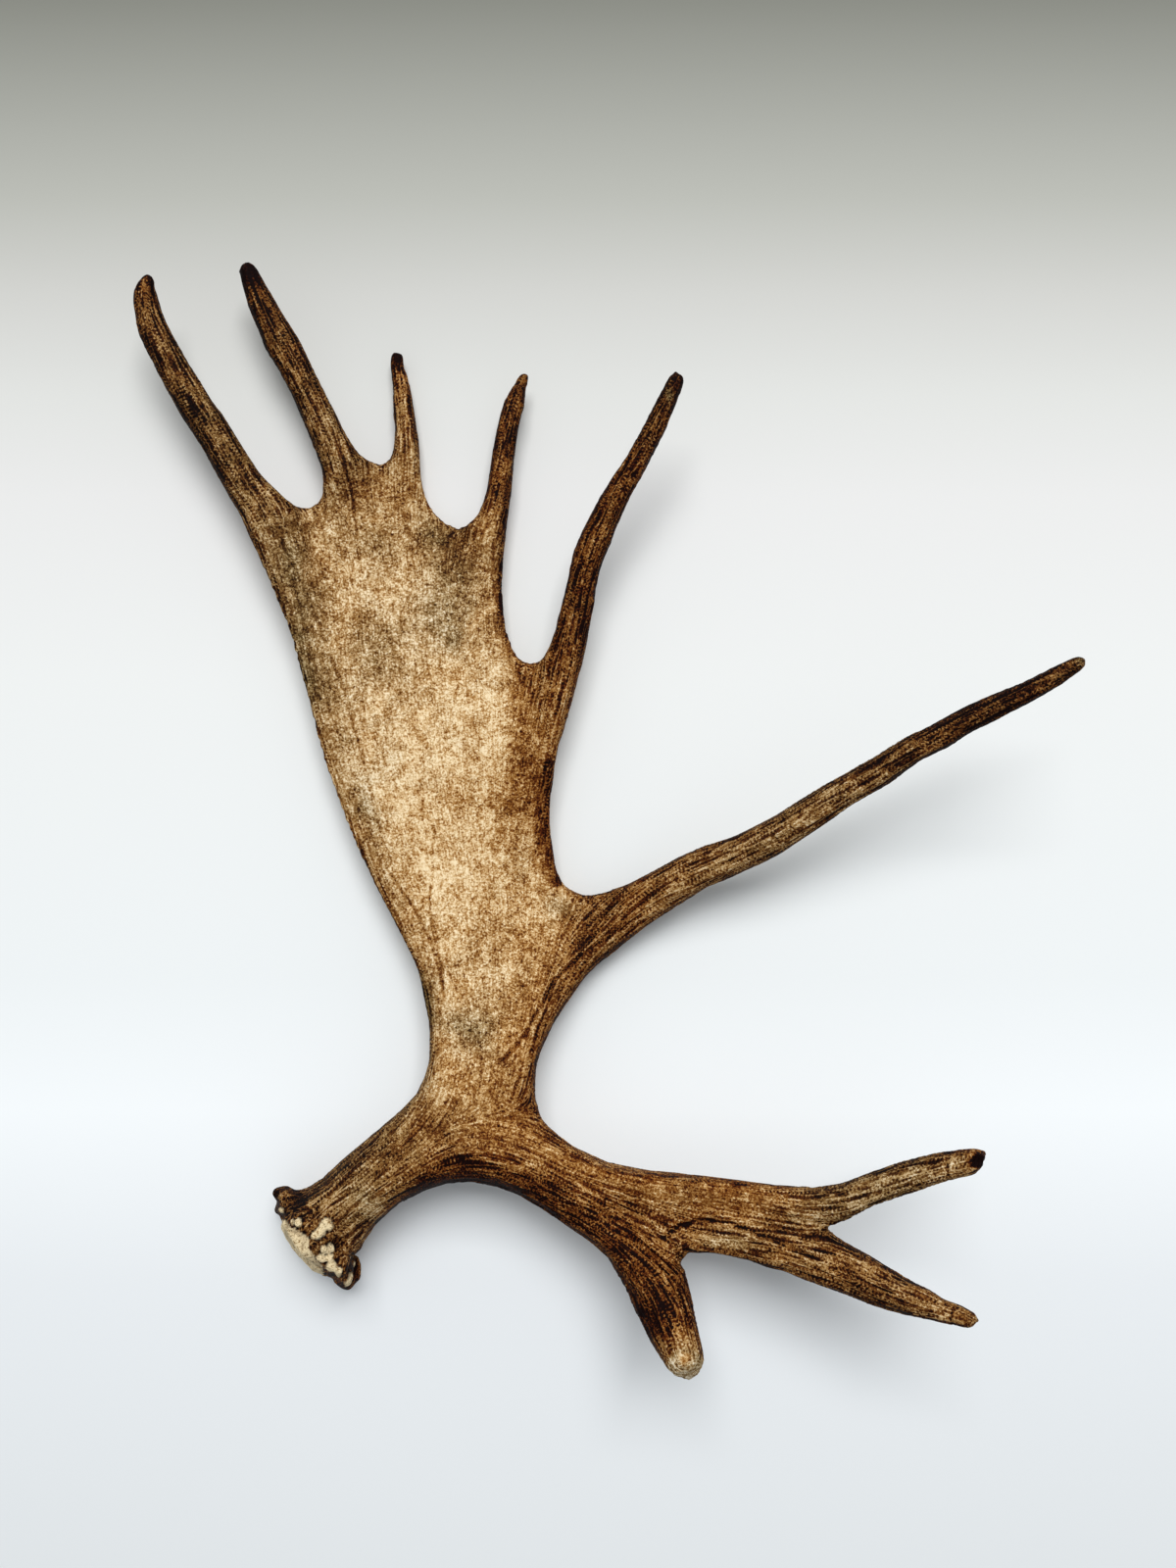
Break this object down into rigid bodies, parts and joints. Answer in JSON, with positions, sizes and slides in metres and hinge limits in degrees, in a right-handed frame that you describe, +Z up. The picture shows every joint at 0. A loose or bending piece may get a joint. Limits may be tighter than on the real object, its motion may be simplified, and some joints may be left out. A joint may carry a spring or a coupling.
{
  "type": "moose antler",
  "caption": "Shed moose antler lying hollow side up: broad dished palm with long tines, forked brow branch and a short beam ending in a knobbly burr.",
  "frame": {"origin": "on the surface the antler lies on, under the centre of its bounding box", "axes": "+Z up, out of the hollow side of the palm; +Y from the burr towards the tines of the main palm; +X along the brow branch"},
  "size_m": [0.619, 0.739, 0.1291],
  "materials": {
    "beam_bone": "weathered brown antler bone, ridged along the beam, with a cream seal",
    "palm_bone": "tan antler bone with fine brown speckle, matt",
    "brow_bone": "brown antler bone with tan ridges, matt",
    "tine_bone": "dark brown ridged antler bone, polished at the tips"
  },
  "bodies": {
    "root": {"beam": "beam_bone", "main_palm": "palm_bone", "brow_palm": "brow_bone", "palm_tine_1": "tine_bone", "palm_tine_2": "tine_bone", "palm_tine_3": "tine_bone", "palm_tine_4": "tine_bone", "palm_tine_5": "tine_bone", "palm_tine_6": "tine_bone", "brow_tine_1": "tine_bone", "brow_tine_2": "tine_bone", "brow_tine_3": "tine_bone"}
  },
  "joints": []
}
